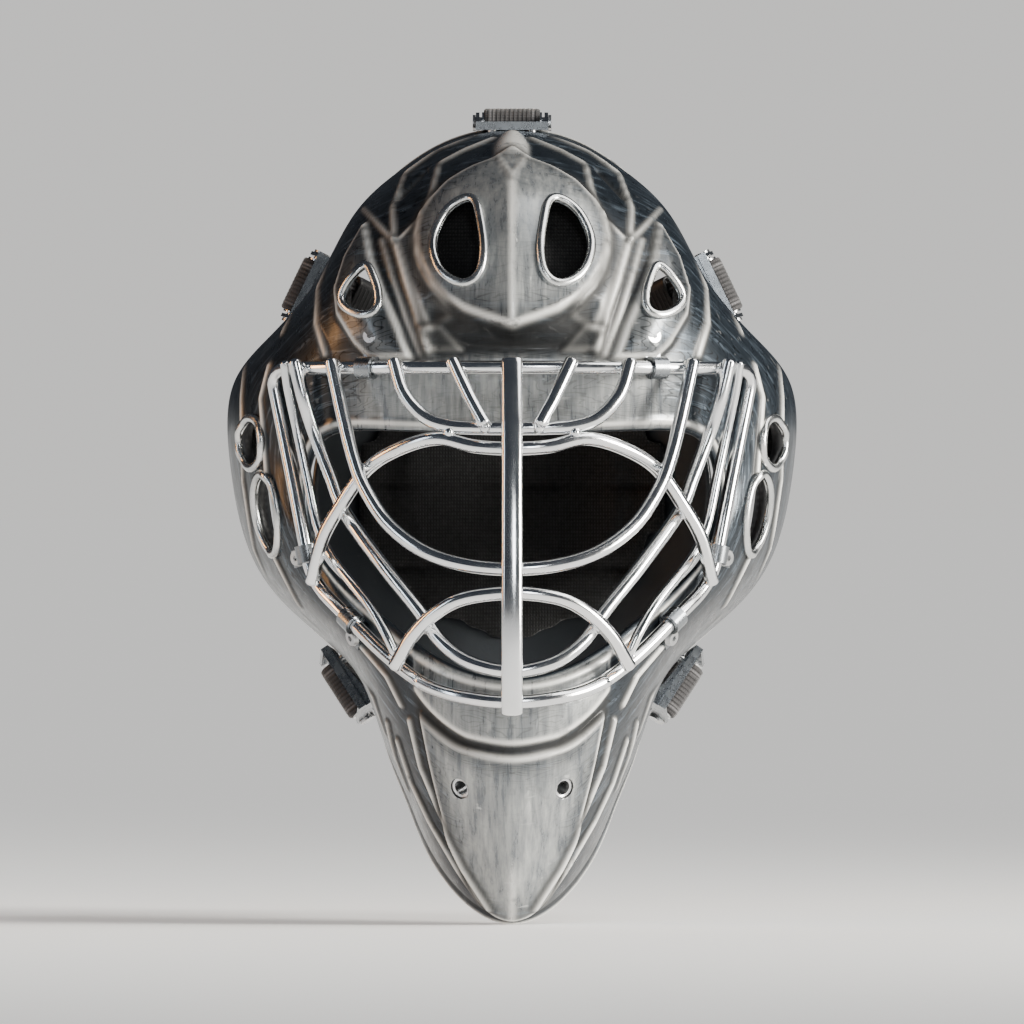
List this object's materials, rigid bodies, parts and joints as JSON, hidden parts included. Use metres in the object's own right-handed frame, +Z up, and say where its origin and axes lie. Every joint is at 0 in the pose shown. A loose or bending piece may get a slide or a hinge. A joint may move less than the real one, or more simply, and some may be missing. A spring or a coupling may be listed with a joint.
{
  "type": "goalie mask",
  "caption": "Moulded face mask for an ice hockey goalkeeper, with a welded wire cage, vents, padding, an elastic strap harness, a back plate and a chin sling.",
  "frame": {"origin": "centre of the wearer's head at eye level, inside the shell", "axes": "-Y is forward through the cage, +X is the wearer's left, +Z is up"},
  "size_m": [0.2324, 0.2728, 0.3315],
  "materials": {
    "shell_finish": "worn gunmetal paint, brushed and scratched, satin gloss",
    "cage_wire": "bright polished steel wire",
    "bracket_steel": "brushed steel sheet with polished lip",
    "roller_steel": "turned steel",
    "fastener_steel": "plated steel",
    "eyelet_metal": "satin aluminium",
    "pad_cloth": "black knit over foam",
    "webbing": "ribbed elastic webbing",
    "slider_plastic": "moulded, fine grain",
    "plate_plastic": "moulded, satin with scuffs",
    "cup_plastic": "moulded, fine grain",
    "liner_cloth": "brushed cloth over foam"
  },
  "bodies": {
    "mask": {"shell": "shell_finish", "cage_rim": "cage_wire", "cage_brow_bar": "cage_wire", "cage_eye_bar": "cage_wire", "cage_outer_bar": "cage_wire", "cage_upper_arch": "cage_wire", "cage_lower_arch": "cage_wire", "cage_side_wire_left": "cage_wire", "cage_side_wire_right": "cage_wire", "cage_short_bar_left": "cage_wire", "cage_short_bar_right": "cage_wire", "cage_centre_bar": "cage_wire", "cage_clips": "bracket_steel", "clip_screws": "fastener_steel", "clip_nuts": "fastener_steel", "lace_eyelet_left": "eyelet_metal", "lace_eyelet_right": "eyelet_metal", "brow_pad": "pad_cloth", "crown_pad": "pad_cloth", "temple_pad_left": "pad_cloth", "temple_pad_right": "pad_cloth", "jaw_pad_left": "pad_cloth", "jaw_pad_right": "pad_cloth", "strap_bracket_top": "bracket_steel", "strap_bracket_upper_left": "bracket_steel", "strap_bracket_upper_right": "bracket_steel", "strap_bracket_lower_left": "bracket_steel", "strap_bracket_lower_right": "bracket_steel", "roller_pins": "fastener_steel", "bracket_rivets": "fastener_steel", "strap_top": "webbing", "strap_upper_left": "webbing", "strap_upper_right": "webbing", "strap_lower_left": "webbing", "strap_lower_right": "webbing", "chin_studs": "fastener_steel"},
    "roller_top": {"strap_roller_top": "roller_steel"},
    "roller_upper_left": {"strap_roller_upper_left": "roller_steel"},
    "roller_upper_right": {"strap_roller_upper_right": "roller_steel"},
    "roller_lower_left": {"strap_roller_lower_left": "roller_steel"},
    "roller_lower_right": {"strap_roller_lower_right": "roller_steel"},
    "slider_top": {"strap_slider_top": "slider_plastic"},
    "slider_upper_left": {"strap_slider_upper_left": "slider_plastic"},
    "slider_upper_right": {"strap_slider_upper_right": "slider_plastic"},
    "slider_lower_left": {"strap_slider_lower_left": "slider_plastic"},
    "slider_lower_right": {"strap_slider_lower_right": "slider_plastic"},
    "back_plate": {"back_plate": "plate_plastic", "back_pad": "pad_cloth", "back_rivets": "fastener_steel"},
    "chin_sling": {"chin_cup": "cup_plastic", "chin_liner": "liner_cloth", "chin_strap_left": "webbing", "chin_strap_right": "webbing", "chin_snap_caps": "fastener_steel"}
  },
  "joints": [
    {"name": "roller_spin_top", "type": "hinge", "parent": "mask", "child": "roller_top", "pos_m": [0, 0.02268, 0.15334], "axis": [1, 0, 0], "continuous": true},
    {"name": "roller_spin_upper_left", "type": "hinge", "parent": "mask", "child": "roller_upper_left", "pos_m": [0.0847, 0.04303, 0.08608], "axis": [0.4331, -0.0199, -0.9011], "continuous": true},
    {"name": "roller_spin_upper_right", "type": "hinge", "parent": "mask", "child": "roller_upper_right", "pos_m": [-0.0847, 0.04303, 0.08608], "axis": [-0.4331, -0.0199, -0.9011], "continuous": true},
    {"name": "roller_spin_lower_left", "type": "hinge", "parent": "mask", "child": "roller_lower_left", "pos_m": [0.06749, 0.02931, -0.07803], "axis": [-0.5318, -0.1831, -0.8268], "continuous": true},
    {"name": "roller_spin_lower_right", "type": "hinge", "parent": "mask", "child": "roller_lower_right", "pos_m": [-0.06749, 0.02931, -0.07803], "axis": [0.5318, -0.1831, -0.8268], "continuous": true},
    {"name": "slider_shift_top", "type": "slide", "parent": "mask", "child": "slider_top", "axis": [0, 0.6865, -0.7272], "range_m": [-0.006, 0.008]},
    {"name": "slider_shift_upper_left", "type": "slide", "parent": "mask", "child": "slider_upper_left", "axis": [-0.6084, 0.7312, -0.3085], "range_m": [-0.006, 0.008]},
    {"name": "slider_shift_upper_right", "type": "slide", "parent": "mask", "child": "slider_upper_right", "axis": [0.6084, 0.7312, -0.3085], "range_m": [-0.006, 0.008]},
    {"name": "slider_shift_lower_left", "type": "slide", "parent": "mask", "child": "slider_lower_left", "axis": [-0.4741, 0.8734, 0.1115], "range_m": [-0.006, 0.008]},
    {"name": "slider_shift_lower_right", "type": "slide", "parent": "mask", "child": "slider_lower_right", "axis": [0.4741, 0.8734, 0.1115], "range_m": [-0.006, 0.008]},
    {"name": "back_plate_stretch", "type": "slide", "parent": "mask", "child": "back_plate", "axis": [0, 1, 0], "range_m": [0, 0.03], "stiffness_N_per_m": 300, "deforming": ["strap_top", "strap_upper_left", "strap_upper_right", "strap_lower_left", "strap_lower_right"]},
    {"name": "chin_sling_swing", "type": "hinge", "parent": "mask", "child": "chin_sling", "pos_m": [0, -0.082, -0.096], "axis": [1, 0, 0], "range_deg": [-15, 20]}
  ]
}
